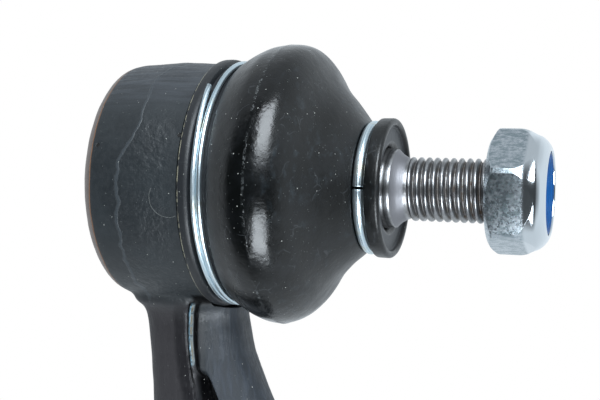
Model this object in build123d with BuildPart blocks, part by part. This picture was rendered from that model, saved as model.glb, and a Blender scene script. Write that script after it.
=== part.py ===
"""Tie rod end: forged housing with a cranked arm and threaded socket, ball stud, dust boot and lock nut.

Units are millimetres. The ball centre is the origin. +X runs along the stud towards the lock nut,
-Z runs down the arm towards the tie rod, +Y completes the right-handed frame.
Turned and moulded pieces are profiles of (x, radius) spun about the X axis.
"""
import os
from math import sqrt

from build123d import *

os.makedirs("parts", exist_ok=True)

# Ball and its running clearance in the plastic bearing
ball_r = 11.0
run_gap = 0.05
fit_gap = 0.05
ball_flat_x = -8.0

# Stud
neck_r = 5.2
neck_end_x = 14.0
taper_start_x = 20.0
taper_end_x = 34.4
taper_end_r = 6.09
taper_slope = 0.05  # radius lost per mm: a 1:10 taper on diameter
thread_r = 4.93
thread_root_r = 4.6
thread_start_x = 35.9
stud_end_x = 54.3

# Housing
rim_x = -10.5
rim_r = 18.2
lip_x = -9.4
lip_inner_r = 14.8
ledge_x = -8.0
ledge_r = 16.4
body_r = 19.5
shoulder_x = 5.7
shoulder_r = 19.3
collar_seat_r = 17.5
collar_room_r = 20.8
mouth_x = 12.3
mouth_r = 13.0
bore_r = 14.65
cone_start_x = 4.5
throat_x = 9.2
throat_r = 10.3

# Arm and socket
socket_x = 5.5
socket_r = 11.0
socket_top_z = -55.0
socket_end_z = -98.0
socket_hole_r = 6.19  # M14 x 1.5 minor diameter 12.38
socket_depth = 36.0
flat_across = 19.0
flat_height = 14.0
pocket_floor_y = 5.8
# Arm stations: height, back x, front x, half thickness in y, corner radius
arm_stations = (
    (-15.5, -6.9, 7.6, 7.4, 3.2),
    (-22.0, -6.75, 8.6, 6.9, 3.4),
    (-29.0, -6.4, 10.3, 6.7, 3.6),
    (-37.0, -6.0, 13.7, 7.3, 4.2),
    (-46.0, -5.6, 16.0, 9.0, 6.5),
    (-55.0, -5.3, 16.3, 10.8, 9.0),
    (-62.0, -4.5, 15.5, 10.0, 9.0),
)

# Bearing halves, spring and cover
bearing_r = 14.6
split_half = 0.3
upper_lip_x = 6.6
lower_hole_r = 4.8
lower_end_x = -10.9
spring_t = 0.7
cover_t = 1.1
dome_x = -13.1
dome_r = 13.0

# Dust boot
boot_start_x = 6.0
boot_wall = 1.8
groove_start_x = 7.85
groove_end_x = 10.6
groove_r = 18.78
boot_max_x = 16.5
boot_max_r = 22.1
boot_neck_x = 29.45
clip_groove_r = 8.78
lip_start_x = 31.65
lip_end_x = 34.1
lip_r = 10.85

# Wire rings
clamp_wire_r = 0.44
clamp_mid_r = 19.26
clamp_pitch = 0.89
clamp_turns = 1.85
clip_wire_r = 0.8
clip_x = 30.7
clip_mid_r = 9.62
clip_gap_deg = 3.0

# Lock nut, M10 x 1.25, 17 across flats
nut_x = 48.95
nut_flats = 17.0
nut_corner_r = 9.6
hex_end_x = 53.5
nut_end_x = 57.7
nut_bore_r = thread_r + run_gap
pocket_x = 54.6
pocket_r = 7.25
crimp_x = 57.2
crimp_r = 6.2
hex_phase = -5.9


def taper_r(x):
    """Stud taper radius at x."""
    return taper_end_r + taper_slope * (taper_end_x - x)


def sphere_r(radius, x):
    """Radius of a ball of the given size at x."""
    return sqrt(radius**2 - x**2)


# Forged housing: arm blank first, then the round body, socket, cavity and threaded hole.
with BuildPart() as housing:
    # Arm lofted down through its stations: straight at the back, swept forward and widening to the socket
    for z, back_x, front_x, half_y, corner in arm_stations:
        with BuildSketch(Plane.XY.offset(z)):
            with Locations(((back_x + front_x) / 2, 0)):
                RectangleRounded(front_x - back_x, 2 * half_y, corner)
    loft()
    # Shallow forging pocket in the front and back faces of the arm.
    for side in (1, -1):
        with BuildSketch(Plane.XZ.offset(side * pocket_floor_y)):
            with BuildLine():
                Polyline((3.3, -33.0), (5.0, -41.0), (5.6, -49.0), (8.9, -49.0), (8.7, -41.0), (3.3, -33.0))
            make_face()
            fillet(vertices(), radius=0.8)
        extrude(amount=side * 7.0, mode=Mode.SUBTRACT)
    # Round body of the housing
    with BuildSketch(Plane.XZ):
        Polygon(
            (rim_x, 0), (rim_x, rim_r - 0.7), (rim_x + 0.25, rim_r), (-9.4, 18.75), (-8.2, 19.05),
            (-1.0, body_r), (shoulder_x - 0.3, shoulder_r), (shoulder_x, shoulder_r - 0.3),
            (shoulder_x, collar_seat_r), (mouth_x - 0.5, collar_seat_r), (mouth_x, collar_seat_r - 0.5),
            (mouth_x, 0), align=None,
        )
    revolve(axis=Axis.X)
    # Room for the boot collar above the shoulder of the arm
    with BuildSketch(Plane.XZ):
        Polygon(
            (shoulder_x, collar_seat_r), (mouth_x + 1, collar_seat_r), (mouth_x + 1, collar_room_r),
            (shoulder_x, collar_room_r), align=None,
        )
    revolve(axis=Axis.X, mode=Mode.SUBTRACT)
    # Socket
    with BuildSketch(Plane.XZ):
        Polygon(
            (socket_x, socket_top_z + 3.0), (socket_x + 7.5, socket_top_z + 2.0),
            (socket_x + socket_r, socket_top_z - 3.0), (socket_x + socket_r, socket_end_z + 1.0),
            (socket_x + socket_r - 1.0, socket_end_z), (socket_x, socket_end_z), align=None,
        )
    revolve(axis=Axis((socket_x, 0, 0), (0, 0, 1)))
    for side in (1, -1):
        with BuildSketch(Plane.XY.offset(socket_end_z)):
            with Locations((socket_x, side * (flat_across / 2 + 5.0))):
                Rectangle(30.0, 10.0)
        extrude(amount=flat_height, mode=Mode.SUBTRACT)
    # Cavity for the bearing, ledge for the cover and the open mouth
    with BuildSketch(Plane.XZ):
        Polygon(
            (rim_x - 1, 0), (rim_x - 1, lip_inner_r), (lip_x, lip_inner_r), (lip_x, ledge_r),
            (ledge_x, ledge_r), (ledge_x, bore_r), (cone_start_x, bore_r), (throat_x - 0.4, throat_r),
            (throat_x + 0.4, throat_r), (mouth_x, mouth_r), (mouth_x + 1, mouth_r), (mouth_x + 1, 0),
            align=None,
        )
    revolve(axis=Axis.X, mode=Mode.SUBTRACT)
    # Threaded socket hole with a drill point and a lead-in chamfer
    with BuildSketch(Plane.XZ):
        Polygon(
            (socket_x, socket_end_z - 1), (socket_x + 7.6, socket_end_z - 1), (socket_x + 7.6, socket_end_z),
            (socket_x + socket_hole_r, socket_end_z + 1.4),
            (socket_x + socket_hole_r, socket_end_z + socket_depth),
            (socket_x + 0.6, socket_end_z + socket_depth + 3.1),
            (socket_x, socket_end_z + socket_depth + 3.1), align=None,
        )
    revolve(axis=Axis((socket_x, 0, 0), (0, 0, 1)), mode=Mode.SUBTRACT)
housing.part.label = "housing"
export_step(housing.part, "parts/housing.step")

# Upper bearing half, towards the mouth
with BuildPart() as upper_bearing:
    with BuildSketch(Plane.XZ):
        with BuildLine():
            inner = ball_r + run_gap
            mid_x = (split_half + upper_lip_x) / 2
            ThreePointArc(
                (split_half, sphere_r(inner, split_half)), (mid_x, sphere_r(inner, mid_x)),
                (upper_lip_x, sphere_r(inner, upper_lip_x)),
            )
            Polyline(
                (upper_lip_x, sphere_r(inner, upper_lip_x)), (8.5, 9.95), (8.5, 10.5),
                (cone_start_x - 0.03, bearing_r), (split_half, bearing_r),
                (split_half, sphere_r(inner, split_half)),
            )
        make_face()
    revolve(axis=Axis.X)
upper_bearing.part.label = "upper_bearing"
export_step(upper_bearing.part, "parts/upper_bearing.step")

# Lower bearing half, pressed against the ball by the spring
with BuildPart() as lower_bearing:
    with BuildSketch(Plane.XZ):
        with BuildLine():
            inner = ball_r + run_gap
            hole_x = -sphere_r(inner, lower_hole_r)
            ThreePointArc(
                (-split_half, sphere_r(inner, split_half)), (-7.0, sphere_r(inner, 7.0)),
                (hole_x, lower_hole_r),
            )
            Polyline(
                (hole_x, lower_hole_r), (lower_end_x, lower_hole_r), (lower_end_x, 10.8),
                (-9.6, 11.4), (-7.9, 13.2), (-7.9, bearing_r), (-split_half, bearing_r),
                (-split_half, sphere_r(inner, split_half)),
            )
        make_face()
    revolve(axis=Axis.X)
lower_bearing.part.label = "lower_bearing"
export_step(lower_bearing.part, "parts/lower_bearing.step")

# Disc spring between the lower bearing half and the cover
with BuildPart() as preload_spring:
    with BuildSketch(Plane.XZ):
        Polygon(
            (lower_end_x - 0.02, 5.2), (lower_end_x - 0.02 - spring_t, 5.2),
            (-11.96, 8.9), (-11.96 + spring_t, 8.9), align=None,
        )
    revolve(axis=Axis.X)
preload_spring.part.label = "preload_spring"
export_step(preload_spring.part, "parts/preload_spring.step")

# Domed cover plate held under the rolled rim
with BuildPart() as cover_plate:
    with BuildSketch(Plane.XZ):
        with BuildLine():
            Polyline(
                (dome_x + cover_t, 0), (dome_x, 0), (dome_x, 6.0), (dome_x + 0.2, 9.4),
                (dome_x + 1.3, 11.6), (lip_x - 0.2, 12.9), (lip_x + 0.02, 13.6),
                (lip_x + 0.02, ledge_r - 0.1), (ledge_x - 0.02, ledge_r - 0.1), (ledge_x - 0.02, 13.3),
                (lip_x - 0.1, 11.75), (dome_x + 1.7, 10.75), (dome_x + cover_t, 9.0),
                (dome_x + cover_t, 0),
            )
        make_face()
    revolve(axis=Axis.X)
cover_plate.part.label = "cover_plate"
export_step(cover_plate.part, "parts/cover_plate.step")

# Ball stud: ball with a flat base, waisted neck, 1:10 taper and threaded end
with BuildPart() as ball_stud:
    neck_x = sphere_r(ball_r, neck_r)
    with BuildSketch(Plane.XZ):
        with BuildLine():
            Line((ball_flat_x, 0), (ball_flat_x, sphere_r(ball_r, ball_flat_x)))
            ThreePointArc((ball_flat_x, sphere_r(ball_r, ball_flat_x)), (0, ball_r), (neck_x, neck_r))
            Line((neck_x, neck_r), (neck_end_x, neck_r))
            Spline(
                (neck_end_x, neck_r), (taper_start_x, taper_r(taper_start_x)),
                tangents=[(1, 0), (1, -taper_slope)],
            )
            Polyline(
                (taper_start_x, taper_r(taper_start_x)), (taper_end_x, taper_end_r),
                (thread_start_x, thread_root_r), (thread_start_x + 0.5, thread_root_r),
                (thread_start_x + 0.85, thread_r), (stud_end_x - 0.9, thread_r),
                (stud_end_x, thread_r - 0.85), (stud_end_x, 0), (ball_flat_x, 0),
            )
        make_face()
    revolve(axis=Axis.X)
ball_stud.part.label = "ball_stud"
export_step(ball_stud.part, "parts/ball_stud.step")

# Dust boot: collar on the housing, bellied wall, clip groove and sealing lip round the stud
with BuildPart() as dust_boot:
    collar_in_r = collar_seat_r + fit_gap
    with BuildSketch(Plane.XZ):
        with BuildLine():
            Polyline(
                (11.2, collar_in_r), (boot_start_x, collar_in_r), (boot_start_x, 19.6), (6.4, 19.9),
                (7.2, 19.95), (groove_start_x - 0.1, 19.8), (groove_start_x, groove_r),
                (groove_end_x, groove_r), (groove_end_x + 0.1, 19.72),
            )
            Spline(
                (groove_end_x + 0.1, 19.72), (13.5, 21.2), (boot_max_x, boot_max_r), (20.2, 21.0),
                (23.5, 17.35), (26.5, 13.6), (boot_neck_x, 10.4),
            )
            Polyline(
                (boot_neck_x, 10.4), (boot_neck_x + 0.35, clip_groove_r), (lip_start_x - 0.05, clip_groove_r),
                (lip_start_x, 10.5), (32.0, lip_r), (33.6, lip_r), (lip_end_x, 10.5), (lip_end_x, 9.9),
                (33.3, 9.6), (33.3, 7.4), (33.6, 6.8), (33.6, taper_r(33.6) + run_gap),
                (29.0, taper_r(29.0) + run_gap), (28.2, 7.4),
            )
            Spline(
                (28.2, 7.4), (26.9, 10.2), (24.6, 13.2), (21.9, 16.6), (18.8, 19.5),
                (boot_max_x, boot_max_r - boot_wall), (13.9, 19.5), (12.5, 18.5),
            )
            Line((12.5, 18.5), (11.2, collar_in_r))
        make_face()
    revolve(axis=Axis.X)
dust_boot.part.label = "dust_boot"
export_step(dust_boot.part, "parts/dust_boot.step")

# Spring wire clamp: two close turns in the collar groove
with BuildPart() as boot_clamp:
    start_x = (groove_start_x + groove_end_x) / 2 - clamp_pitch * clamp_turns / 2
    with BuildLine():
        coil = Helix(
            pitch=clamp_pitch, height=clamp_pitch * clamp_turns, radius=clamp_mid_r,
            center=(start_x, 0, 0), direction=(1, 0, 0),
        )
    with BuildSketch(Plane(origin=coil @ 0, z_dir=coil % 0)):
        Circle(clamp_wire_r)
    sweep(path=coil, is_frenet=True)
boot_clamp.part.label = "boot_clamp"
export_step(boot_clamp.part, "parts/boot_clamp.step")

# Split wire clip round the small end of the boot
with BuildPart() as boot_clip:
    with BuildSketch(Plane.XY):
        with Locations((clip_x, clip_mid_r)):
            Circle(clip_wire_r)
    revolve(axis=Axis.X, revolution_arc=360 - clip_gap_deg)
boot_clip.part.label = "boot_clip"
export_step(boot_clip.part, "parts/boot_clip.step")

# Lock nut: hexagon trimmed by its chamfers and the collar that grips the insert
with BuildPart() as lock_nut:
    with BuildSketch(Plane.YZ.offset(nut_x)):
        RegularPolygon(radius=nut_flats / 2, side_count=6, major_radius=False, rotation=30 - hex_phase)
    extrude(amount=nut_end_x - nut_x)
    with BuildSketch(Plane.XZ):
        Polygon(
            (nut_x, 5.55), (nut_x, 8.0), (nut_x + 1.05, nut_corner_r), (hex_end_x, nut_corner_r),
            (hex_end_x + 0.9, 9.3), (55.2, 8.85), (56.3, 8.4), (57.0, 7.8), (57.5, 7.1),
            (nut_end_x, 6.7), (nut_end_x, crimp_r), (crimp_x, crimp_r), (crimp_x, pocket_r), (pocket_x, pocket_r),
            (pocket_x, nut_bore_r), (nut_x + 0.57, nut_bore_r), align=None,
        )
    revolve(axis=Axis.X, mode=Mode.INTERSECT)
lock_nut.part.label = "lock_nut"
export_step(lock_nut.part, "parts/lock_nut.step")

# Nylon locking ring inside the nut collar
with BuildPart() as nylon_insert:
    with BuildSketch(Plane.XZ):
        Polygon(
            (pocket_x + 0.05, nut_bore_r + 0.3), (pocket_x + 0.05, pocket_r - fit_gap),
            (crimp_x - 0.05, pocket_r - fit_gap), (crimp_x - 0.05, nut_bore_r + 0.25),
            (crimp_x - 0.3, nut_bore_r), (pocket_x + 0.35, nut_bore_r), align=None,
        )
    revolve(axis=Axis.X)
nylon_insert.part.label = "nylon_insert"
export_step(nylon_insert.part, "parts/nylon_insert.step")
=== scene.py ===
"""Looks for the tie rod end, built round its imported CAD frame. Metres, ball centre at the origin."""
from math import atan2, cos, exp, hypot, pi, radians, sin

import bmesh
import bpy
from mathutils import Matrix, Vector, noise


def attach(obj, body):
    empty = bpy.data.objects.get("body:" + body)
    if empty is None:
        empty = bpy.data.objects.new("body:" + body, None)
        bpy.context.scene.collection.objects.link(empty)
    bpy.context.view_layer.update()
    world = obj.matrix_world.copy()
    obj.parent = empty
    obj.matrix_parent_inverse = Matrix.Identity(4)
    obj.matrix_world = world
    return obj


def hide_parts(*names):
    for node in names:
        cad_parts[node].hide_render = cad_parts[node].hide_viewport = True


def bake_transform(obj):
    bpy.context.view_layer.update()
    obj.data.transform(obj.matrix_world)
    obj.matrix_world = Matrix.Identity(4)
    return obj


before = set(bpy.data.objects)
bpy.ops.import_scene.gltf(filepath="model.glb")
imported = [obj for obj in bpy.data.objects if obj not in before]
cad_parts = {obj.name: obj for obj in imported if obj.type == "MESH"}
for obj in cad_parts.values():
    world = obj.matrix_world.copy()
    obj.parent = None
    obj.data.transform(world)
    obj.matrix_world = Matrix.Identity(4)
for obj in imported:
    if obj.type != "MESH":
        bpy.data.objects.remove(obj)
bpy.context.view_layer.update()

MM = 0.001
X_AXIS = Vector((1, 0, 0))
ORIGIN = Vector((0, 0, 0))


# ---------------------------------------------------------------- materials: helpers

def srgb(code):
    """Linear colour of an sRGB hex code."""
    parts = [int(code[i:i + 2], 16) / 255 for i in (1, 3, 5)]
    return tuple(c / 12.92 if c <= 0.04045 else ((c + 0.055) / 1.055) ** 2.4 for c in parts) + (1.0,)


def add(mat, kind, settings=None, **links):
    """Adds a node to a material. Settings go to properties, sockets or ramp stops; links join sockets."""
    node = mat.node_tree.nodes.new("ShaderNode" + kind)
    for key, value in (settings or {}).items():
        if key == "stops":
            for point, (place, colour) in zip(node.color_ramp.elements, value):
                point.position, point.color = place, srgb(colour)
        elif key in node.bl_rna.properties:
            setattr(node, key, value)
        else:
            node.inputs[int(key) if key.isdigit() else key].default_value = value
    for key, source in links.items():
        socket = node.inputs[int(key[1:])] if key[0] == "_" else node.inputs[key.replace("_", " ")]
        mat.node_tree.links.new(source, socket)
    return node


def new_material(name, **shader):
    """A material with its Principled shader; uniform values sit on the shader's own sockets."""
    mat = bpy.data.materials.new(name)
    mat.use_nodes = True
    bsdf = mat.node_tree.nodes["Principled BSDF"]
    for key, value in shader.items():
        bsdf.inputs[key.replace("_", " ")].default_value = value
    return mat, bsdf


def calc(mat, operation, *values):
    """The result of a maths node; each value is a number or another node's output."""
    node = add(mat, "Math", {"operation": operation})
    for socket, value in zip(node.inputs, values):
        if isinstance(value, (int, float)):
            socket.default_value = value
        else:
            mat.node_tree.links.new(value, socket)
    return node.outputs[0]


# ---------------------------------------------------------------- meshes: helpers

def mesh_object(bm, name):
    """An object in the scene made from a bmesh, which is used up."""
    mesh = bpy.data.meshes.new(name)
    bm.to_mesh(mesh)
    bm.free()
    made = bpy.data.objects.new(name, mesh)
    bpy.context.scene.collection.objects.link(made)
    return made


def finish_piece(bm, name, body, mat, replaces):
    """Turns a bmesh into a smooth-shaded piece that rides on a body, or on none if no body is given."""
    bmesh.ops.remove_doubles(bm, verts=bm.verts, dist=1e-7)
    bmesh.ops.recalc_face_normals(bm, faces=bm.faces)
    piece = mesh_object(bm, name)
    piece.data.materials.append(mat)
    piece.data.polygons.foreach_set("use_smooth", [True] * len(piece.data.polygons))
    if body:
        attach(piece, body)
    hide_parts(replaces)
    return piece


def chain(bm, points, closed=False):
    """Joins (x, z) millimetre points in the XZ plane with edges."""
    verts = [bm.verts.new((x * MM, 0, z * MM)) for x, z in points]
    edges = [bm.edges.new(pair) for pair in zip(verts, verts[1:])]
    if closed:
        edges.append(bm.edges.new((verts[-1], verts[0])))
    return verts, edges


def turned(points, steps=160, closed=True):
    """A profile of (x, radius) points spun a full turn about the X axis."""
    bm = bmesh.new()
    verts, edges = chain(bm, points, closed)
    bmesh.ops.spin(bm, geom=verts + edges, cent=ORIGIN, axis=X_AXIS, angle=2 * pi, steps=steps,
                   use_merge=True, use_duplicate=False)
    bmesh.ops.remove_doubles(bm, verts=bm.verts, dist=1e-7)
    return bm


def curve_points(points, per_span=6):
    """A smooth Catmull-Rom line through a few (x, radius) points."""
    out = []
    ends = [points[0]] + list(points) + [points[-1]]
    for a, b, c, d in zip(ends, ends[1:], ends[2:], ends[3:]):
        for i in range(per_span):
            t = i / per_span
            out.append(tuple(
                0.5 * (2 * q + (r - p) * t + (2 * p - 5 * q + 4 * r - s) * t * t
                       + (3 * q - p - 3 * r + s) * t ** 3)
                for p, q, r, s in zip(a, b, c, d)))
    out.append(points[-1])
    return out


def rounded(points, radius, steps=4):
    """The same corners, each inner one rounded with a small arc of about the given radius."""
    out = [points[0]]
    for before, corner, after in zip(points, points[1:], points[2:]):
        a, b, c = Vector(before), Vector(corner), Vector(after)
        cut = min(radius, (a - b).length * 0.45, (c - b).length * 0.45)
        start, end = b + (a - b).normalized() * cut, b + (c - b).normalized() * cut
        for i in range(steps + 1):
            t = i / steps
            out.append(tuple(start * (1 - t) ** 2 + b * 2 * t * (1 - t) + end * t * t))
    out.append(points[-1])
    return out


def smoothstep(low, high, value):
    t = min(1.0, max(0.0, (value - low) / (high - low)))
    return t * t * (3 - 2 * t)


def settled(piece, *modifiers):
    """Adds modifiers given as (kind, settings) to a piece and applies them to its mesh."""
    for kind, settings in modifiers:
        mod = piece.modifiers.new(kind.lower(), kind)
        for key, value in settings.items():
            setattr(mod, key, value)
    mesh = bpy.data.meshes.new_from_object(piece.evaluated_get(bpy.context.evaluated_depsgraph_get()))
    piece.modifiers.clear()
    old, piece.data = piece.data, mesh
    bpy.data.meshes.remove(old)


def tool_object(bm, name):
    """A bare object from a bmesh, for cutting or joining."""
    bmesh.ops.recalc_face_normals(bm, faces=bm.faces)
    return mesh_object(bm, name)


def machined(piece, cuts):
    """Cuts and joins a piece with (operation, tool) pairs, then removes the tools."""
    for operation, tool in cuts:
        settled(piece, ("BOOLEAN", {"operation": operation, "object": tool, "solver": "MANIFOLD"}))
        bpy.data.objects.remove(tool)


def screw_ridge(section, axis_point, axis, pitch, turns, steps=40):
    """A closed thread ridge in a bmesh of its own: a small section swept round an axis, one pitch a turn."""
    bm = bmesh.new()
    face = bm.faces.new([bm.verts.new(p) for p in section])
    bmesh.ops.spin(bm, geom=[face], cent=axis_point, axis=axis, dvec=axis * (pitch / steps),
                   angle=2 * pi * turns, steps=round(steps * turns), use_duplicate=False)
    bmesh.ops.recalc_face_normals(bm, faces=bm.faces)
    return bm


def merge_in(bm, other):
    """Moves another bmesh's geometry into this one."""
    mesh = bpy.data.meshes.new("moved")
    other.to_mesh(mesh)
    other.free()
    bm.from_mesh(mesh)
    bpy.data.meshes.remove(mesh)


# ---------------------------------------------------------------- housing: forging

BODY_OUTLINE = [(-10.5, 0), (-10.5, 17.5), (-10.25, 18.1), (-9.4, 18.75), (-8.2, 19.05), (-4.5, 19.28),
                (-1.0, 19.5), (1.5, 19.42), (3.5, 19.32), (7.5, 19.3), (7.5, 0)]
SOCKET_X, SOCKET_R, SOCKET_END = 5.5, 11.0, -98.0
HOLE_ROOT_R, HOLE_CREST_R, HOLE_DEPTH, HOLE_PITCH = 7.0, 6.22, 36.0, 1.5

# Arm stations: height, back, front, half thickness, flash line x, roundness
ARM = ((-13.0, -6.9, 8.4, 7.9, 0.8, 0.0), (-22.0, -6.7, 8.75, 7.2, 1.8, 0.0),
       (-28.0, -6.4, 10.0, 6.9, 3.0, 0.0), (-34.0, -6.2, 12.6, 7.1, 4.4, 0.0),
       (-38.5, -6.0, 14.5, 7.6, 5.4, 0.05), (-44.0, -5.8, 15.9, 8.8, 6.0, 0.25),
       (-50.0, -5.6, 16.3, 10.2, 5.8, 0.65), (-57.0, -5.5, 16.5, 11.0, 5.5, 1.0))
# Draft of the arm's faces behind and in front of the flash line, and the sharpness of its corners
BACK_DRAFT, FRONT_DRAFT, SHARPNESS = radians(9), radians(27), 9
# Where the arm starts to flare into the round body, over what height and by how much
FLARE_Z, FLARE_HEIGHT, FLARE_OUT = -22.4, 3.2, 1.7


def arm_station(z):
    """Arm dimensions at a height, eased between its stations."""
    if z >= ARM[0][0]:
        return ARM[0][1:]
    for low, high in zip(ARM[1:], ARM):
        if z >= low[0]:
            t = (high[0] - z) / (high[0] - low[0])
            return [a + (b - a) * t for a, b in zip(high[1:], low[1:])]
    return ARM[-1][1:]


def arm_point(angle, z):
    """Arm surface point in millimetres: drafted faces either side of the flash line, corners rounded."""
    back, front, half, flash, circle = arm_station(z)
    root = max(0.0, min(1.0, (z - FLARE_Z) / FLARE_HEIGHT))
    flare = FLARE_OUT * (1 - (1 - root * root) ** 0.5)
    back, half = back - flare, half + 0.8 * flare
    centre = (back + front) / 2
    ux, uy = cos(angle), sin(angle)
    total = 0.0
    for nx, ny, depth in (
        (-1.0, 0.0, centre - back), (1.0, 0.0, front - centre),
        (-sin(BACK_DRAFT), cos(BACK_DRAFT), None), (sin(FRONT_DRAFT), cos(FRONT_DRAFT), None),
    ):
        if depth is None:
            depth = nx * (flash - centre) + ny * half
        total += (max(0.0, nx * ux + ny * abs(uy)) / depth) ** SHARPNESS
    reach = total ** (-1 / SHARPNESS)
    reach += (SOCKET_R - reach) * circle
    return Vector((centre + reach * ux, reach * uy, z)) * MM


def spin_on_socket(bm, outline):
    """Spins a (radius, height) outline a full turn about the socket's own axis."""
    verts, edges = chain(bm, [(SOCKET_X + r, z) for r, z in outline])
    bmesh.ops.spin(bm, geom=verts + edges, cent=(SOCKET_X * MM, 0, 0), axis=(0, 0, 1), angle=2 * pi,
                   steps=96, use_merge=True, use_duplicate=False)
    bmesh.ops.remove_doubles(bm, verts=bm.verts, dist=1e-6)


def forging_blank():
    """The unmachined forging: round body, arm and socket as overlapping closed shells."""
    bm = turned(BODY_OUTLINE, steps=120, closed=False)
    ring = bmesh.ops.create_circle(bm, segments=96, radius=1.0, cap_ends=True)["verts"]
    face = ring[0].link_faces[0]
    bmesh.ops.translate(bm, verts=ring, vec=(0, 0, ARM[0][0]))
    arm_verts = list(ring)
    # The arm grows by one millimetre a step, from its first station to its last
    for i in range(1, round(ARM[0][0] - ARM[-1][0]) + 1):
        out = bmesh.ops.extrude_face_region(bm, geom=[face])["geom"]
        new = [g for g in out if isinstance(g, bmesh.types.BMVert)]
        if i > 1:
            bmesh.ops.delete(bm, geom=[face], context="FACES_ONLY")
        face = next(g for g in out if isinstance(g, bmesh.types.BMFace))
        bmesh.ops.translate(bm, verts=new, vec=(0, 0, -1.0))
        arm_verts += new
    for vert in arm_verts:
        vert.co = arm_point(atan2(vert.co.y, vert.co.x), vert.co.z)
    spin_on_socket(bm, [(0, -56.0), (10.0, -56.0), (SOCKET_R, -57.5), (SOCKET_R, SOCKET_END),
                        (0, SOCKET_END)])
    return tool_object(bm, "housing_forging")


FLASH_X, FLASH_MID, FLASH_BOW, FLASH_HOOK = 2.1, -24.5, 0.014, 0.55
BEAD_HEIGHT, BEAD_WIDTH, GROOVE_DEPTH = 0.62, 0.38, 0.34
# Web pocket: the height of its top, the length of its wedge, its depth and the height of the seam in it,
# and the start and slope of its two sides
POCKET_TOP, POCKET_WEDGE, POCKET_DEPTH, POCKET_SEAM = -29.5, 10.5, 2.7, 0.7
POCKET_BACK, POCKET_FRONT = (2.4, 0.13), (4.0, 0.42)
# Waviness of the forged skin: size and height of each grain
FORGED_SKIN = ((3.2, 0.05), (1.3, 0.02))


def flash_x(z):
    """Where the flash line runs down the face of the arm: a shallow bow that hooks forward at its top."""
    return FLASH_X + FLASH_BOW * (z - FLASH_MID) ** 2 + FLASH_HOOK * smoothstep(-21.0, -18.2, z)


def forged_detail(x, z):
    """Height above the plain arm face, in millimetres: flash bead, its side grooves and the web pocket."""
    off = x - flash_x(z)
    bead = smoothstep(-30.8, -29.0, z) * (1 - smoothstep(-19.2, -18.4, z))
    height = BEAD_HEIGHT * bead * exp(-(off / BEAD_WIDTH) ** 2)
    seam = smoothstep(-44.0, -36.0, z) * (1 - smoothstep(-19.0, -18.2, z))
    grooves = exp(-((off - 0.72) / 0.25) ** 2) + 0.6 * exp(-((off + 0.6) / 0.22) ** 2)
    height -= GROOVE_DEPTH * seam * grooves
    # The pocket opens below the bead as a wedge and then runs straight
    depth = min(POCKET_WEDGE, POCKET_TOP - z)
    left, right = POCKET_BACK[0] + depth * POCKET_BACK[1], POCKET_FRONT[0] + depth * POCKET_FRONT[1]
    ends = smoothstep(-52.0, -47.0, z) * (1 - smoothstep(POCKET_TOP - 3.0, POCKET_TOP, z))
    pocket = ends * smoothstep(left - 0.5, left + 0.7, x) * (1 - smoothstep(right - 0.7, right + 0.5, x))
    height -= pocket * (POCKET_DEPTH - POCKET_SEAM * exp(-(off / 0.4) ** 2))
    return height


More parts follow.
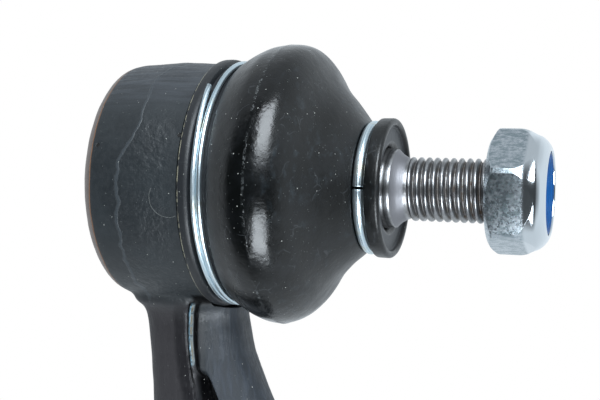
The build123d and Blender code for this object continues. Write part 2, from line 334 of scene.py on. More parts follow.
def make_housing(mat):
    piece = forging_blank()
    settled(piece, ("REMESH", {"mode": "VOXEL", "voxel_size": 0.5 * MM, "use_smooth_shade": True}),
            ("SMOOTH", {"factor": 0.5, "iterations": 7}))
    bm = bmesh.new()
    bm.from_mesh(piece.data)
    # A finer mesh on the faces of the arm, where the bead and the pocket go
    fine = [e for e in bm.edges if all(
        abs(v.co.y) > 3.2 * MM and -53 * MM < v.co.z < -17.6 * MM and -1 * MM < v.co.x < 11.5 * MM
        and abs(v.co.y) > 0.5 * abs(v.co.x - 4 * MM) for v in e.verts)]
    bmesh.ops.subdivide_edges(bm, edges=fine, cuts=1, use_grid_fill=True)
    bm.normal_update()
    for vert in bm.verts:
        x, y, z = vert.co / MM
        if abs(y) > 2.5 and -54 < z < -17.8 and abs(vert.normal.y) > 0.3:
            vert.co.y += (1 if y > 0 else -1) * forged_detail(x, z) * MM
        rough = sum(noise.noise(vert.co / (grain * MM)) * high for grain, high in FORGED_SKIN)
        vert.co += vert.normal * rough * MM
    bm.to_mesh(piece.data)
    bm.free()
    seat = turned([(4.5, 0), (4.5, 17.5), (11.8, 17.5), (12.3, 17.0), (12.3, 0)], 144, closed=False)
    room = turned([(5.7, 17.5), (13.3, 17.5), (13.3, 20.25), (6.0, 20.25), (5.7, 20.0)], 144)
    rim = turned([(-12.0, 0), (-12.0, 20.0), (-10.5, 20.0), (-10.5, 0)], 144, closed=False)
    cavity = turned(rounded([(-11.5, 0), (-11.5, 15.4), (-10.5, 15.3), (-9.95, 14.8), (-9.4, 14.8),
                             (-9.4, 16.4), (-8.0, 16.4), (-8.0, 14.65), (4.5, 14.65), (8.8, 10.3),
                             (9.6, 10.3), (12.3, 13.0), (13.3, 13.0), (13.3, 0)], 0.2), 144, closed=False)
    hole = bmesh.new()
    drill_tip = SOCKET_END + HOLE_DEPTH + 3.1
    spin_on_socket(hole, [(0, SOCKET_END - 1), (8.0, SOCKET_END - 1), (8.0, SOCKET_END - 0.2),
                          (HOLE_ROOT_R, SOCKET_END + 1.0), (HOLE_ROOT_R, SOCKET_END + HOLE_DEPTH),
                          (0.6, drill_tip), (0, drill_tip)])
    flats = []
    for side in (1, -1):
        flat = bmesh.new()
        bmesh.ops.create_cube(flat, size=1.0)
        bmesh.ops.scale(flat, vec=(30 * MM, 4 * MM, 15 * MM), verts=flat.verts)
        bmesh.ops.translate(flat, vec=(SOCKET_X * MM, side * 11.5 * MM, (SOCKET_END + 6.5) * MM),
                            verts=flat.verts)
        flats.append(flat)
    machined(piece, [
        ("UNION", tool_object(seat, "seat")), ("DIFFERENCE", tool_object(room, "room")),
        ("DIFFERENCE", tool_object(rim, "rim")), ("DIFFERENCE", tool_object(cavity, "cavity")),
        ("DIFFERENCE", tool_object(hole, "hole")),
        ("DIFFERENCE", tool_object(flats[0], "flat")), ("DIFFERENCE", tool_object(flats[1], "flat")),
    ])
    bm = bmesh.new()
    bm.from_mesh(piece.data)
    bpy.data.objects.remove(piece)
    # Internal M14 x 1.5 thread
    flank = ((7.2, 0.72), (6.95, 0.62), (HOLE_CREST_R, 0.2))
    section = [(r, -z) for r, z in flank] + list(flank[::-1])
    ridge = [Vector((SOCKET_X + r, 0, SOCKET_END + 1.6 + z)) * MM for r, z in section]
    merge_in(bm, screw_ridge(ridge, Vector((SOCKET_X * MM, 0, 0)), Vector((0, 0, 1)), HOLE_PITCH * MM, 20.5))
    for edge in bm.edges:
        edge.smooth = len(edge.link_faces) != 2 or edge.calc_face_angle(0) < radians(32)
    bmesh.ops.dissolve_degenerate(bm, dist=1e-7, edges=bm.edges)
    return finish_piece(bm, "housing_body", "housing", mat, "housing")


# ---------------------------------------------------------------- cover plate

def make_cover(mat):
    outer = rounded([(-13.1, 0), (-13.1, 1.6), (-12.75, 2.6), (-12.75, 4.6), (-13.1, 5.8), (-12.95, 9.2),
                     (-11.8, 11.6), (-9.6, 12.9), (-9.38, 13.6), (-9.38, 16.3)], 0.5)
    inner = rounded([(-8.02, 16.3), (-8.02, 13.3), (-9.5, 11.75), (-11.4, 10.75), (-12.0, 9.0),
                     (-12.0, 6.0), (-11.75, 4.6), (-11.75, 2.6), (-12.0, 1.6), (-12.0, 0)], 0.3)
    return finish_piece(turned(outer + inner, 128, closed=False), "cover_disc", "housing", mat,
                        "cover_plate")


# ---------------------------------------------------------------- ball stud

BALL_R, BALL_START, BALL_END = 11.0, 136.8, 28.2
THREAD_CREST, THREAD_ROOT, THREAD_CORE, PITCH = 4.93, 4.3, 3.9, 1.25
THREAD_PHASE = radians(90)


def make_stud(mat):
    angles = [radians(BALL_START - i * (BALL_START - BALL_END) / 40) for i in range(41)]
    ball = [(BALL_R * cos(a), BALL_R * sin(a)) for a in angles]
    profile = [(-8.02, 0), (-8.02, 2.2), (-7.4, 2.6), (-7.4, 3.0), (-8.02, 3.6), (-8.02, 7.2)] + ball
    profile += curve_points([(9.8, 5.2), (14.0, 5.2), (17.0, 5.9), (20.0, 6.81)], 6)
    profile += [(33.3, 6.16), (33.42, 6.11), (33.55, 6.14), (34.2, 6.11), (34.42, 6.07)]
    profile += curve_points([(34.5, 6.0), (34.8, 5.68), (35.25, 5.3), (35.75, 5.0), (36.3, 4.72)], 4)
    profile += [(36.8, 4.45), (37.2, THREAD_ROOT), (53.2, THREAD_ROOT), (53.5, 4.1), (54.3, 3.9), (54.3, 0)]
    bm = turned(profile, 128, closed=False)
    # Rolled thread: one long ridge that fades in at the shoulder and out at the chamfered end
    start, turns = 35.6, 14.4
    half = PITCH / 2
    flank = [(half * 0.98, 4.1), (half * 0.92, THREAD_ROOT + 0.01), (0.4, THREAD_ROOT + 0.2),
             (0.28, THREAD_CREST - 0.17), (0.15, THREAD_CREST - 0.03), (0.0, THREAD_CREST)]
    section = [(start - out, r) for out, r in flank] + [(start + out, r) for out, r in flank[-2::-1]]
    section = [Vector((x, -r * cos(THREAD_PHASE), r * sin(THREAD_PHASE))) * MM for x, r in section]
    thread = screw_ridge(section, ORIGIN, X_AXIS, PITCH * MM, turns)
    for vert in thread.verts:
        x, y, z = vert.co / MM
        r = hypot(y, z)
        fade = smoothstep(35.3, 36.9, x) * (1 - smoothstep(52.9, 54.1, x))
        new = THREAD_CORE + (r - THREAD_CORE) * (0.25 + 0.75 * fade) if fade < 1 else r
        vert.co.y, vert.co.z = y / r * new * MM, z / r * new * MM
    merge_in(bm, thread)
    return finish_piece(bm, "stud_turned", "stud", mat, "ball_stud")


# ---------------------------------------------------------------- dust boot

PARTING_X = 17.4
BOOT_SET, BOOT_SLACK = 0.6, 0.12


def make_boot(mat):
    outer = rounded([(5.95, 17.56), (5.95, 19.6), (6.25, 19.92), (7.2, 19.95), (7.72, 19.8), (7.86, 18.8),
                     (10.58, 18.8), (10.72, 19.74)], 0.16, 3)
    belly = curve_points([(10.72, 19.74), (11.3, 20.12), (12.4, 20.75), (13.8, 21.4), (15.1, 21.86),
                          (16.3, 22.06), (17.3, 22.12), (18.3, 22.0), (19.3, 21.75), (20.3, 21.3),
                          (21.2, 20.65), (22.1, 19.75), (22.95, 18.65), (23.8, 17.25), (24.7, 15.85),
                          (25.6, 14.7), (26.6, 13.6), (27.6, 12.5), (28.6, 11.45), (29.5, 10.45)], 3)
    lip = rounded([(29.5, 10.45), (29.78, 10.2), (29.84, 8.78), (31.56, 8.78), (31.64, 10.3), (31.9, 10.82),
                   (33.75, 10.85), (34.1, 10.5), (34.08, 9.95), (33.9, 9.72), (33.38, 9.6), (33.34, 9.2),
                   (33.34, 7.5), (33.3, 7.0), (32.9, 6.55), (32.3, 6.28), (29.0, 6.44), (28.2, 7.4)],
                  0.22, 3)
    inner = curve_points([(28.2, 7.4), (26.9, 10.2), (24.6, 13.2), (21.9, 16.6), (18.8, 19.4),
                          (16.5, 20.3), (13.9, 19.5), (12.5, 18.5), (11.2, 17.56)], 4)
    profile = outer[:-1] + belly[:-1] + lip[:-1] + inner
    bm = turned(profile, 144)
    for vert in bm.verts:
        x, y, z = vert.co / MM
        r = hypot(y, z)
        # Mould parting line, then the slight set of the rubber: fuller above than below
        if r > 21.0:
            grow = (0.045 + 0.1 * smoothstep(-19.0, -21.5, z)) * exp(-((x - PARTING_X) / 0.16) ** 2)
            y, z = y * (1 + grow / r), z * (1 + grow / r)
        lift = BOOT_SET * smoothstep(16.0, 22.0, x) * (1 - smoothstep(26.5, 30.5, x))
        slack = (noise.noise(Vector((x, y, z)) / 14) * BOOT_SLACK * smoothstep(11.5, 15, x)
                 * (1 - smoothstep(26, 29.5, x)))
        vert.co = Vector((x, y * (1 + slack / r), z * (1 + slack / r) + lift)) * MM
    boot = finish_piece(bm, "boot_rubber_skin", None, mat, "dust_boot")
    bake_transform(boot)
    return boot


# ---------------------------------------------------------------- wire rings

def wire_section(bm, x, reach, angle, radius, points=16):
    """A round wire section at a place round the X axis, as a face."""
    out = bmesh.ops.create_circle(bm, segments=points, radius=radius * MM, cap_ends=True)["verts"]
    bmesh.ops.rotate(bm, verts=out, cent=ORIGIN, matrix=Matrix.Rotation(-angle, 3, "X"))
    bmesh.ops.translate(bm, verts=out, vec=Vector((x, -reach * cos(angle), reach * sin(angle))) * MM)
    return out[0].link_faces[0]


def make_clamp(mat):
    start, turns, pitch, reach, radius = 8.34, 1.85, 0.89, 19.26, 0.44
    begin, steps = radians(54), 120
    # The free first end springs open: over this share of a turn, this far back and this far out
    splay, splay_back, splay_out = 0.11, 0.5, 0.3
    bm = bmesh.new()
    face = wire_section(bm, start, reach, begin, radius)
    bmesh.ops.spin(bm, geom=[face], cent=ORIGIN, axis=X_AXIS, dvec=X_AXIS * (pitch * MM / steps),
                   angle=2 * pi * turns, steps=round(steps * turns), use_duplicate=False)
    for vert in bm.verts:
        x, y, z = vert.co / MM
        swing = (begin - atan2(z, -y)) % (2 * pi) / (2 * pi)
        pass_no = round((x - start) / pitch - swing)
        progress = swing + pass_no
        spring = max(0.0, 1 - max(0.0, progress) / splay) ** 2
        r = hypot(y, z)
        lifted = r + splay_out * spring
        vert.co = Vector((x - splay_back * spring, y / r * lifted, z / r * lifted)) * MM
    return finish_piece(bm, "collar_spring_wire", "boot", mat, "boot_clamp")


def make_clip(mat):
    place, reach, radius, gap_at, gap = 30.7, 9.62, 0.8, radians(5), radians(2.3)
    bm = bmesh.new()
    face = wire_section(bm, place, reach, gap_at - gap / 2, radius, 20)
    bmesh.ops.spin(bm, geom=[face], cent=ORIGIN, axis=X_AXIS, angle=2 * pi - gap, steps=120,
                   use_duplicate=False)
    ends = [e for e in bm.edges if len(e.link_faces) == 2 and max(len(f.verts) for f in e.link_faces) > 4]
    bmesh.ops.bevel(bm, geom=ends, offset=0.12 * MM, offset_type="OFFSET", segments=2, profile=0.5,
                    affect="EDGES", material=-1)
    return finish_piece(bm, "neck_wire_clip", "boot_neck", mat, "boot_clip")


# ---------------------------------------------------------------- lock nut and insert

def make_nut(mat):
    flats, phase = 17.0, radians(-5.9)
    outer = rounded([(48.95, 5.5), (48.95, 7.9), (49.2, 8.3), (50.0, 9.6), (53.5, 9.6), (54.4, 9.3),
                     (55.2, 8.85), (55.7, 8.62), (56.3, 8.4), (57.0, 7.8), (57.5, 7.1),
                     (57.7, 6.55), (57.62, 6.3), (57.25, 6.22)], 0.35, 4)
    inner = [(57.05, 6.4), (57.18, 7.2), (54.65, 7.22), (54.6, 5.05), (49.4, 5.05)]
    bm = turned(outer + inner, 180)
    for i in range(6):
        angle = phase + i * pi / 3
        normal = Vector((0, -cos(angle), sin(angle)))
        whole = list(bm.verts) + list(bm.edges) + list(bm.faces)
        cut = bmesh.ops.bisect_plane(bm, geom=whole, dist=1e-8, plane_co=normal * (flats / 2 * MM),
                                     plane_no=normal, clear_outer=True)
        rim = [g for g in cut["geom_cut"] if isinstance(g, bmesh.types.BMEdge)]
        bmesh.ops.edgeloop_fill(bm, edges=[e for e in rim if e.is_boundary])
    bmesh.ops.remove_doubles(bm, verts=bm.verts, dist=5e-6)
    bmesh.ops.dissolve_degenerate(bm, dist=5e-6, edges=bm.edges)
    bm.normal_update()
    edges = [e for e in bm.edges if len(e.link_faces) == 2 and e.calc_face_angle(0) > radians(14)
             and any(len(f.verts) > 8 for f in e.link_faces)]
    bmesh.ops.bevel(bm, geom=edges, offset=0.16 * MM, offset_type="OFFSET", segments=3, profile=0.5,
                    affect="EDGES", material=-1, clamp_overlap=True)
    return finish_piece(bm, "nut_forged", "nut", mat, "lock_nut")


def make_insert(mat):
    profile = rounded([(55.6, 4.98), (54.9, 4.98), (54.66, 5.2), (54.66, 7.16), (57.0, 7.16), (57.04, 6.16),
                       (57.5, 6.12), (57.34, 5.9), (56.5, 5.2), (56.1, 4.98), (55.6, 4.98)], 0.2, 4)[:-1]
    return finish_piece(turned(profile, 96), "insert_ring", "nut_carrier", mat, "nylon_insert")


# ---------------------------------------------------------------- materials

def object_place(mat):
    """Object coordinates in millimetres, their three parts, and the distance from the X axis."""
    place = add(mat, "TexCoord").outputs["Object"]
    mm = add(mat, "VectorMath", {"operation": "SCALE", "Scale": 1000.0}, _0=place).outputs[0]
    xyz = add(mat, "SeparateXYZ", _0=mm).outputs
    flat = add(mat, "CombineXYZ", _1=xyz[1], _2=xyz[2]).outputs[0]
    reach = add(mat, "VectorMath", {"operation": "LENGTH"}, _0=flat).outputs["Value"]
    return mm, xyz, reach


def patches(mat, place, per_mm, low, high, detail=3.0, stretch=(1, 1, 1)):
    """Noise of a grain size, from 0 below the low level to 1 above the high one, thinned along each axis by
    the stretch."""
    turned_place = add(mat, "Mapping", {"Scale": stretch}, Vector=place).outputs[0]
    cloud = add(mat, "TexNoise", {"Scale": per_mm, "Detail": detail, "Roughness": 0.6}, Vector=turned_place)
    return add(mat, "MapRange", {"From Min": low, "From Max": high}, Value=cloud.outputs["Fac"]).outputs[0]


def span(mat, value, start, end):
    """A mask that rises from 0 to 1 as a value goes from start to end, which may be the smaller number."""
    return add(mat, "MapRange", {"interpolation_type": "SMOOTHSTEP", "From Min": start, "From Max": end},
               Value=value).outputs[0]


def product(mat, *masks):
    """All masks multiplied together."""
    total = masks[0]
    for mask in masks[1:]:
        total = calc(mat, "MULTIPLY", total, mask)
    return total


def specks(mat, place, per_mm, radius, share):
    """A mask of small round grains of a radius in millimetres, in a share of the cells of a loose grid."""
    cells = add(mat, "TexVoronoi", {"Scale": per_mm}, Vector=place)
    chance = add(mat, "SeparateColor", Color=cells.outputs["Color"]).outputs[0]
    near = span(mat, cells.outputs["Distance"], radius * per_mm, radius * per_mm * 0.6)
    some = calc(mat, "GREATER_THAN", chance, 1 - share)
    return product(mat, near, some)


def relief(mat, bsdf, *layers):
    """Adds bumps to a shader, each a mask and its height in millimetres."""
    total = 0.0
    for mask, height in layers:
        total = calc(mat, "MULTIPLY_ADD", mask, height, total)
    bump = add(mat, "Bump", {"Strength": 1.0, "Distance": MM}, Height=total).outputs[0]
    mat.node_tree.links.new(bump, bsdf.inputs["Normal"])


def painted(mat, colour, *layers):
    """Lays colours over a base colour, each through its own mask."""
    for mask, code in layers:
        colour = add(mat, "Mix", {"data_type": "RGBA", "7": srgb(code)}, _0=mask, _6=colour).outputs[2]
    return colour


def plugged(mat, bsdf, colour=None, rough=None, metal=None):
    """Joins worked out values to the shader; rough is a mask and its two roughness levels."""
    link = mat.node_tree.links.new
    if colour:
        link(colour, bsdf.inputs["Base Color"])
    if rough:
        mask, low, high = rough
        level = add(mat, "MapRange", {"To Min": low, "To Max": high}, Value=mask).outputs[0]
        link(level, bsdf.inputs["Roughness"])
    if metal:
        link(metal, bsdf.inputs["Metallic"])


def black_coated_forging():
    """Hot-forged steel in a satin black dip coat. The eye sees pebbled scale under the coat, the wandering
    edge where it ran and set, sunk pits, pale grit, lengthwise draw lines on the arm, and a bare turned
    rim. Shade is painted into the creases, the web pocket, the corner under the collar and a band on the
    arm, with a painted highlight along the flash bead and painted shading tints on the arm's faces."""
    mat, bsdf = new_material("black_coated_forging", IOR=1.5)
    mm, (x, y, z), reach = object_place(mat)
    body = span(mat, z, -19.5, -17.5)
    arm = span(mat, z, -17.5, -21.0)
    coat = add(mat, "ValToRGB", {"stops": [(0.3, "#171b1e"), (0.7, "#1f2427")]},
               Fac=patches(mat, mm, 0.11, 0.0, 1.0)).outputs[0]
    # The set edge of the coat runs round the body and swings forward above mid height
    swing = span(mat, z, 3.0, 11.0)
    bowed = calc(mat, "MULTIPLY_ADD", swing, -3.2, x)
    wander = patches(mat, mm, 0.13, 0.0, 1.0, 3.5)
    past = calc(mat, "MULTIPLY_ADD", wander, 4.2, bowed)
    set_edge = product(mat, span(mat, past, -2.8, -2.5), span(mat, past, -2.0, -2.3), body)
    scale_zone = product(mat, span(mat, past, -2.5, -1.5), span(mat, x, 5.5, 3.0), span(mat, z, 14.0, 9.0),
                         body)
    crown = span(mat, z, 11.0, 17.5)
    draw_lines = product(mat, patches(mat, mm, 1.5, 0.42, 0.62, 3.0, (0.9, 1.0, 0.09)), arm)
    crown_lines = product(mat, patches(mat, mm, 1.4, 0.4, 0.62, 3.0, (0.07, 1.0, 1.0)), crown)
    pits = specks(mat, mm, 0.15, 0.42, 1.0)
    pale_grit = specks(mat, mm, 0.8, 0.09, 0.4)
    fine_grit = specks(mat, mm, 1.7, 0.055, 0.4)
    # A curled hair lying on the coat
    hair_place = add(mat, "VectorMath", {"operation": "SUBTRACT", "1": (4.3, 0, -0.6)},
                     _0=add(mat, "CombineXYZ", _0=x, _2=z).outputs[0]).outputs[0]
    hair_reach = add(mat, "VectorMath", {"operation": "LENGTH"}, _0=hair_place).outputs["Value"]
    hair = product(mat, span(mat, hair_reach, 2.85, 2.89), span(mat, hair_reach, 2.95, 2.91),
                   span(mat, z, 0.9, 0.7), span(mat, x, 5.6, 5.3), span(mat, y, -15.0, -16.0))
    # Bare steel past the trimmed edge of the coat, with a thread of rust along it
    trim = calc(mat, "MULTIPLY_ADD", wander, 0.5, x)
    bare = product(mat, span(mat, trim, -8.68, -8.74), span(mat, reach, 13.0, 14.0))
    rust = product(mat, span(mat, trim, -8.82, -8.7), span(mat, trim, -8.46, -8.6), body)
    # The front and back faces of the arm carry separate painted shading tints: a darker, bluer tone on the
    # front and a lighter, warmer one on the back
    front_arm = product(mat, arm, span(mat, x, 3.0, 6.5))
    back_arm = product(mat, arm, span(mat, x, 4.5, 1.5))
    # The flash bead down the arm is painted lighter as a highlight, bright bluish and cream in patches of
    # rubbed bare metal, between two dark creases
    drop = calc(mat, "SUBTRACT", z, FLASH_MID)
    bow = calc(mat, "MULTIPLY", drop, drop)
    hook = calc(mat, "MULTIPLY_ADD", span(mat, z, -21.0, -18.2), FLASH_HOOK, FLASH_X)
    line = calc(mat, "MULTIPLY_ADD", bow, FLASH_BOW, hook)
    off = calc(mat, "SUBTRACT", x, line)
    bead_length = product(mat, span(mat, z, -29.4, -28.4), span(mat, z, -18.5, -19.4))
    bead = product(mat, span(mat, off, -0.42, -0.26), span(mat, off, 0.42, 0.26), bead_length)
    rubbed_metal_and_highlight = product(mat, bead, patches(mat, mm, 1.1, 0.38, 0.52))
    warm_highlight_side = product(mat, rubbed_metal_and_highlight, span(mat, off, -0.05, 0.15))
    # The creases either side of the bead are painted dark as shade
    front_crease = product(mat, span(mat, off, 0.36, 0.5), span(mat, off, 1.0, 0.8))
    back_crease = product(mat, span(mat, off, -0.8, -0.66), span(mat, off, -0.36, -0.46))
    creases = calc(mat, "MAXIMUM", front_crease, back_crease)
    crease_painted_shade = product(mat, creases, span(mat, z, -34.0, -31.0), span(mat, z, -18.2, -19.0))
    # Painted shade fills the pocket below the bead
    below = calc(mat, "SUBTRACT", POCKET_TOP, z)
    depth = calc(mat, "MINIMUM", below, POCKET_WEDGE)
    back_side = calc(mat, "MULTIPLY_ADD", depth, -POCKET_BACK[1], -POCKET_BACK[0])
    front_side = calc(mat, "MULTIPLY_ADD", depth, -POCKET_FRONT[1], -POCKET_FRONT[0])
    from_back = calc(mat, "ADD", x, back_side)
    from_front = calc(mat, "ADD", x, front_side)
    pocket = product(mat, span(mat, from_back, -0.2, 0.4), span(mat, from_front, 0.2, -0.4),
                     span(mat, z, POCKET_TOP, POCKET_TOP - 2.5), span(mat, z, -52.0, -48.0))
    # A painted shadow in the corner between the collar and the arm
    collar_corner_painted_shadow = product(mat, span(mat, z, -19.3, -18.5), span(mat, z, -16.7, -17.4), span(mat, off, -0.5, 0.2),
                   span(mat, x, 8.4, 7.4))
    # A dark band down the back face of the arm, behind the flash line, is painted shade
    back_face_painted_shade = product(mat, arm, span(mat, off, -3.6, -2.4), span(mat, off, -0.4, -0.9))
    colour = painted(mat, coat, (front_arm, "#1c2127"), (back_arm, "#2a282a"), (crown, "#282b2f"),
                     (set_edge, "#2c3135"), (crown_lines, "#363a3f"),
                     (product(mat, draw_lines, front_arm), "#262c34"), (back_face_painted_shade, "#0f0d11"), (pits, "#060606"),
                     (pocket, "#050506"), (crease_painted_shade, "#060607"), (collar_corner_painted_shadow, "#070708"), (bead, "#3d464b"),
                     (rubbed_metal_and_highlight, "#7fa5b8"), (warm_highlight_side, "#8d8577"),
                     (fine_grit, "#6f7270"), (pale_grit, "#a7a8a2"), (hair, "#5e605e"), (rust, "#6b4a33"),
                     (bare, "#8c8480"))
    grain = patches(mat, mm, 1.3, 0.3, 0.7, 4.0)
    metal = calc(mat, "MAXIMUM", bare, product(mat, rubbed_metal_and_highlight, bead))
    plugged(mat, bsdf, colour, (grain, 0.42, 0.58), metal)
    # The painted shade in the creases, the corner and the pocket also has its gloss taken off, so it stays
    # dark
    painted_shade_in_corner_creases = calc(mat, "MAXIMUM", collar_corner_painted_shadow, crease_painted_shade)
    painted_shade_zones = calc(mat, "MAXIMUM", painted_shade_in_corner_creases, pocket)
    gloss = add(mat, "MapRange", {"To Min": 0.5, "To Max": 0.08}, Value=painted_shade_zones).outputs[0]
    mat.node_tree.links.new(gloss, bsdf.inputs["Specular IOR Level"])
    pebbles = product(mat, patches(mat, mm, 0.95, 0.35, 0.7, 2.0), scale_zone)
    relief(mat, bsdf, (grain, 0.018), (pebbles, 0.07), (set_edge, 0.07), (pits, -0.25), (draw_lines, 0.03),
           (crown_lines, 0.03), (pale_grit, 0.05), (hair, 0.05))
    return mat


def moulded_rubber():
    """Carbon-black rubber from a polished mould: a soft gloss broken by hazy handled patches, grit caught
    along the parting line, pale dust, a pale line of dust and painted highlight along the collar edge, and a
    paler, duller recess inside the neck lip."""
    mat, bsdf = new_material("moulded_rubber", IOR=1.49)
    mm, (x, *_), reach = object_place(mat)
    haze = patches(mat, mm, 0.22, 0.42, 0.68, 5.0)
    gum = add(mat, "ValToRGB", {"stops": [(0.0, "#040505"), (1.0, "#090b0d")]}, Fac=haze).outputs[0]
    parting = product(mat, span(mat, x, PARTING_X - 0.3, PARTING_X - 0.08),
                      span(mat, x, PARTING_X + 0.3, PARTING_X + 0.08), span(mat, reach, 20.6, 21.0))
    collar = span(mat, x, 12.5, 10.0)
    caught = product(mat, parting, patches(mat, mm, 1.6, 0.48, 0.62, 4.0), patches(mat, mm, 0.16, 0.4, 0.6))
    # The floor of the recess inside the neck lip is painted a paler grey
    recess = product(mat, span(mat, x, 33.1, 33.3), span(mat, reach, 9.75, 9.55), span(mat, reach, 7.0, 7.5))
    # A pale line along the rounded edge of the collar, partly dust and partly painted highlight
    collar_edge = product(mat, span(mat, x, 6.35, 6.2), span(mat, reach, 19.5, 19.7))
    edge_dust_and_highlight = product(mat, collar_edge, patches(mat, mm, 1.2, 0.44, 0.52, 3.0))
    dust = specks(mat, mm, 0.75, 0.1, 0.6)
    fine_dust = specks(mat, mm, 1.8, 0.06, 0.8)
    # Hair scratches: the edges of bent cells, kept only in a few places
    bent = add(mat, "VectorMath", {"operation": "MULTIPLY_ADD", "1": (3.0, 3.0, 3.0)},
               _0=add(mat, "TexNoise", {"Scale": 0.3}, Vector=mm).outputs["Color"], _2=mm).outputs[0]
    cells = add(mat, "TexVoronoi", {"feature": "DISTANCE_TO_EDGE", "Scale": 0.3}, Vector=bent)
    scratches = product(mat, span(mat, cells.outputs["Distance"], 0.022, 0.008),
                        patches(mat, mm, 0.2, 0.56, 0.6, 2.0))
    scuffs = product(mat, patches(mat, mm, 1.1, 0.52, 0.74, 6.0, (1.0, 0.5, 0.5)),
                     patches(mat, mm, 0.12, 0.42, 0.62), span(mat, x, 17.8, 20.5))
    colour = painted(mat, gum, (scuffs, "#20262a"), (collar, "#17191c"), (recess, "#2b2e32"),
                     (scratches, "#232527"), (caught, "#4a4d4e"), (fine_dust, "#5a5d5c"),
                     (dust, "#9b9c96"), (edge_dust_and_highlight, "#8f8b78"))
    grain = patches(mat, mm, 2.4, 0.3, 0.7, 3.0)
    matt_collar_and_recess = calc(mat, "MAXIMUM", collar, recess)
    # The crown of the belly is rubbed glossy in blotches
    crown = product(mat, span(mat, x, 12.5, 14.5), span(mat, x, 23.0, 19.5))
    matt = add(mat, "MapRange", {"To Min": 0.55, "To Max": 0.1}, Value=crown).outputs[0]
    hazy = calc(mat, "MULTIPLY_ADD", haze, 0.36, matt)
    dull = calc(mat, "MAXIMUM", hazy, matt_collar_and_recess)
    plugged(mat, bsdf, colour, (dull, 0.14, 0.46))
    relief(mat, bsdf, (grain, 0.006), (patches(mat, mm, 0.5, 0.3, 0.7), 0.03), (dust, 0.05), (caught, 0.04),
           (scuffs, 0.012))
    return mat


def turned_steel():
    """Plain turned and thread-rolled steel: fine lathe rings, a brighter polished ball, grey crests, and
    brown grease and rust dust in the thread grooves towards the nut."""
    mat, bsdf = new_material("turned_steel")
    mm, (x, *_), reach = object_place(mat)
    along = add(mat, "CombineXYZ", _0=x).outputs[0]
    rings = patches(mat, along, 4.5, 0.3, 0.7, 4.0)
    worn = patches(mat, mm, 0.8, 0.35, 0.65, 4.0)
    steel = add(mat, "ValToRGB", {"stops": [(0.0, "#7f7f80"), (1.0, "#a6a7a9")]}, Fac=worn).outputs[0]
    threads = span(mat, x, 36.2, 36.8)
    groove = product(mat, threads, span(mat, reach, 4.72, 4.35))
    film = product(mat, groove, patches(mat, mm, 1.1, 0.3, 0.6, 4.0))
    rust_dust = product(mat, groove, span(mat, x, 39.5, 46.5), patches(mat, mm, 1.7, 0.5, 0.6, 4.0))
    hollow = product(mat, span(mat, x, 34.4, 34.6), span(mat, x, 36.5, 36.1))
    colour = painted(mat, steel, (hollow, "#848488"), (film, "#6b6764"), (rust_dust, "#41301f"))
    metal = add(mat, "MapRange", {"To Min": 1.0, "To Max": 0.35}, Value=rust_dust).outputs[0]
    shank = span(mat, x, 11.5, 16.0)
    rough = calc(mat, "MULTIPLY_ADD", rings, 0.45, film)
    coarse = calc(mat, "MAXIMUM", rust_dust, hollow)
    dull = product(mat, calc(mat, "MAXIMUM", rough, coarse), shank)
    plugged(mat, bsdf, colour, (dull, 0.23, 0.52), metal)
    relief(mat, bsdf, (product(mat, rings, shank), 0.012), (product(mat, worn, shank), 0.006))
    return mat


def zinc_wire():
    """Bright zinc-plated spring wire: blue-white, with lengthwise drawing lines and pale yellow passivation
    in places."""
    mat, bsdf = new_material("zinc_wire", Metallic=1.0)
    mm, (x, *_), reach = object_place(mat)
    across = add(mat, "CombineXYZ", _0=x, _1=reach).outputs[0]
    lines = patches(mat, across, 5.0, 0.35, 0.65)
    film = patches(mat, mm, 0.35, 0.55, 0.75)
    zinc = add(mat, "ValToRGB", {"stops": [(0.0, "#bcd0da"), (1.0, "#e4eff4")]}, Fac=lines).outputs[0]
    plugged(mat, bsdf, painted(mat, zinc, (film, "#c8c7b6")), (lines, 0.26, 0.42))
    relief(mat, bsdf, (lines, 0.01), (patches(mat, mm, 1.5, 0.3, 0.7), 0.006))
    return mat


def zinc_nut():
    """Cold-forged nut in bright blue zinc: mottled crystals and forging marks on the flats, smooth and
    mirror-like on the turned-in neck."""
    mat, bsdf = new_material("zinc_nut", Metallic=1.0)
    mm, (x, *_), _ = object_place(mat)
    flats = span(mat, x, 54.9, 54.3)
    crystals = patches(mat, mm, 2.4, 0.3, 0.7, 5.0)
    marks = product(mat, patches(mat, mm, 2.2, 0.46, 0.58, 4.0, (0.35, 1.0, 1.0)), flats)
    worked = calc(mat, "MULTIPLY_ADD", crystals, 0.5, 0.5)
    zinc = add(mat, "ValToRGB", {"stops": [(0.0, "#a6b1b9"), (1.0, "#cfd5da")]}, Fac=crystals).outputs[0]
    # The turned-in neck is painted a paler zinc as a painted highlight
    plugged(mat, bsdf, painted(mat, zinc, (marks, "#98a5ab"), (span(mat, x, 54.3, 54.9), "#d6dde2")),
            (product(mat, worked, flats), 0.12, 0.33))
    relief(mat, bsdf, (product(mat, crystals, flats), 0.007), (marks, 0.004))
    return mat


def blue_nylon():
    """Turned blue nylon: deep, slightly waxy colour with fine lathe rings round the bore."""
    mat, bsdf = new_material("blue_nylon", IOR=1.53, Specular_IOR_Level=0.25,
                             Subsurface_Weight=0.08, Subsurface_Scale=0.0006)
    mm, _, reach = object_place(mat)
    rings = patches(mat, add(mat, "CombineXYZ", _0=reach).outputs[0], 5.0, 0.35, 0.65)
    tone = add(mat, "ValToRGB", {"stops": [(0.0, "#003565"), (1.0, "#034a86")]}, Fac=rings).outputs[0]
    plugged(mat, bsdf, tone, (patches(mat, mm, 0.9, 0.3, 0.7), 0.28, 0.42))
    relief(mat, bsdf, (rings, 0.03))
    return mat


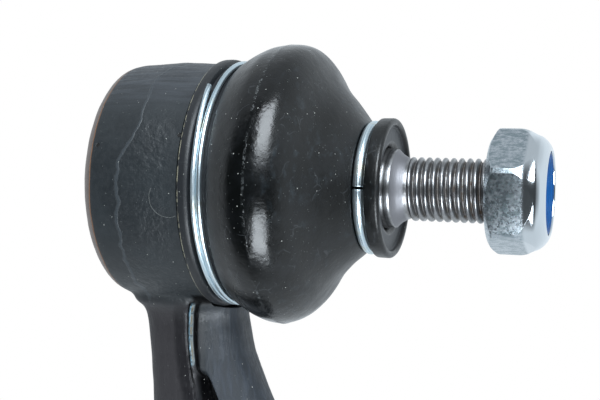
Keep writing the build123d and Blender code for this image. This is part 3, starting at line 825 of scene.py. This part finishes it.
def moulded_acetal():
    """Greased natural acetal: ivory, faintly mottled, with a fine satin skin."""
    mat, bsdf = new_material("moulded_acetal", IOR=1.48)
    mm, *_ = object_place(mat)
    grease = patches(mat, mm, 0.3, 0.45, 0.7, 4.0)
    tone = add(mat, "ValToRGB", {"stops": [(0.0, "#dedacd"), (1.0, "#b9ab86")]}, Fac=grease).outputs[0]
    plugged(mat, bsdf, tone, (grease, 0.42, 0.2))
    relief(mat, bsdf, (patches(mat, mm, 2.0, 0.3, 0.7), 0.01))
    return mat


def disc_spring_steel():
    """Hardened and oiled disc spring: dark blue-grey with stamped rings and a thin film of oil."""
    mat, bsdf = new_material("disc_spring_steel", Metallic=1.0)
    mm, _, reach = object_place(mat)
    rings = patches(mat, add(mat, "CombineXYZ", _0=reach).outputs[0], 3.0, 0.35, 0.65)
    tone = add(mat, "ValToRGB", {"stops": [(0.0, "#555a63"), (1.0, "#777c84")]}, Fac=rings).outputs[0]
    plugged(mat, bsdf, tone, (patches(mat, mm, 0.6, 0.3, 0.7), 0.24, 0.42))
    relief(mat, bsdf, (rings, 0.01))
    return mat


def zinc_plated_pressing():
    """Deep-drawn sheet in clear zinc: soft draw rings, faint orange peel and handling marks."""
    mat, bsdf = new_material("zinc_plated_pressing", Metallic=1.0)
    mm, _, reach = object_place(mat)
    rings = patches(mat, add(mat, "CombineXYZ", _0=reach).outputs[0], 1.6, 0.35, 0.65)
    peel = patches(mat, mm, 1.1, 0.3, 0.7, 4.0)
    tone = add(mat, "ValToRGB", {"stops": [(0.0, "#a2a9b0"), (1.0, "#bcc2c7")]}, Fac=peel).outputs[0]
    stain = patches(mat, mm, 0.25, 0.55, 0.7, 4.0)
    plugged(mat, bsdf, painted(mat, tone, (stain, "#a09c88")), (peel, 0.22, 0.4))
    relief(mat, bsdf, (rings, 0.02), (peel, 0.012))
    return mat


acetal, spring_steel, zinc_wire_finish = moulded_acetal(), disc_spring_steel(), zinc_wire()
make_housing(black_coated_forging())
make_cover(zinc_plated_pressing())
make_stud(turned_steel())
make_boot(moulded_rubber())
make_clamp(zinc_wire_finish)
make_clip(zinc_wire_finish)
make_nut(zinc_nut())
make_insert(blue_nylon())
for node, mat in (("lower_bearing", acetal), ("upper_bearing", acetal), ("preload_spring", spring_steel)):
    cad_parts[node].data.materials.clear()
    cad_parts[node].data.materials.append(mat)


# ---------------------------------------------------------------- stage, light and camera

DARK_SIDE = (0.1, -0.995, 0.0)
COOL_WHITE = "#eff8ff"
TABLE_HEIGHT, TABLE_SIZE = -0.0985, 6.0
LENS, SENSOR = 65.7, 36.0


def area_light(name, direction, distance, size, power, target=(0.02, 0, -0.005)):
    data = bpy.data.lights.new(name, "AREA")
    data.shape, data.size, data.size_y, data.energy = "RECTANGLE", size[0], size[1], power
    data.color = srgb(COOL_WHITE)[:3]
    lamp = bpy.data.objects.new(name, data)
    bpy.context.scene.collection.objects.link(lamp)
    way = Vector(direction).normalized()
    lamp.location = Vector(target) + way * distance
    lamp.rotation_euler = way.to_track_quat("Z", "Y").to_euler()


def make_stage():
    bm = bmesh.new()
    bmesh.ops.create_grid(bm, x_segments=1, y_segments=1, size=TABLE_SIZE)
    bmesh.ops.translate(bm, verts=bm.verts, vec=(0, 0, TABLE_HEIGHT))
    floor = mesh_object(bm, "floor")
    floor.data.materials.append(white_table())


def make_world():
    """White walls behind and at the sides, a paler ceiling and floor, and a dark room behind the camera."""
    world = bpy.data.worlds.new("studio")
    bpy.context.scene.world = world
    world.use_nodes = True
    way = add(world, "TexCoord").outputs["Generated"]
    front = add(world, "VectorMath", {"operation": "DOT_PRODUCT", "1": DARK_SIDE}, _0=way).outputs["Value"]
    height = add(world, "SeparateXYZ", _0=way).outputs[2]
    level = product(world, *[
        add(world, "MapRange", {"interpolation_type": "SMOOTHSTEP", "From Min": start, "From Max": end,
                                "To Min": first, "To Max": last}, Value=value).outputs[0]
        for value, start, end, first, last in ((front, 0.08, 0.55, 1.0, 0.06), (height, 0.3, 0.9, 1.0, 0.65),
                                               (height, -0.3, -0.9, 1.0, 0.85))])
    seen = add(world, "LightPath").outputs["Is Camera Ray"]
    strength = calc(world, "MAXIMUM", level, seen)
    tint = add(world, "Mix", {"data_type": "RGBA", "6": srgb(COOL_WHITE), "7": srgb("#ffffff")},
               _0=seen).outputs[2]
    background = world.node_tree.nodes["Background"]
    world.node_tree.links.new(tint, background.inputs["Color"])
    world.node_tree.links.new(strength, background.inputs["Strength"])


def white_table():
    """A light table: glowing white paper to the eye, and clear to the lamps below its edge."""
    mat = new_material("light_table")[0]
    glow = add(mat, "Emission", {"Strength": 1.0}).outputs[0]
    clear = add(mat, "BsdfTransparent").outputs[0]
    seen = add(mat, "LightPath").outputs["Is Camera Ray"]
    both = add(mat, "MixShader", _0=seen, _1=clear, _2=glow).outputs[0]
    mat.node_tree.links.new(both, mat.node_tree.nodes["Material Output"].inputs["Surface"])
    return mat


make_stage()
make_world()
area_light("key_softbox", (0.34, -0.62, 0.71), 0.6, (0.40, 0.42), 6.6)
area_light("low_softbox", (0.38, -0.75, -0.60), 0.6, (0.34, 0.36), 4.8)

camera_data = bpy.data.cameras.new("camera")
camera_data.lens, camera_data.sensor_width = LENS, SENSOR
camera_data.clip_start = 0.005
camera = bpy.data.objects.new("camera", camera_data)
bpy.context.scene.collection.objects.link(camera)
camera.location = (0.074984, -0.164533, 0.016830)
camera.rotation_euler = Vector((-0.32327, 0.93992, -0.10973)).to_track_quat("-Z", "Y").to_euler()
bpy.context.scene.camera = camera
bpy.context.scene.view_settings.view_transform = "Standard"
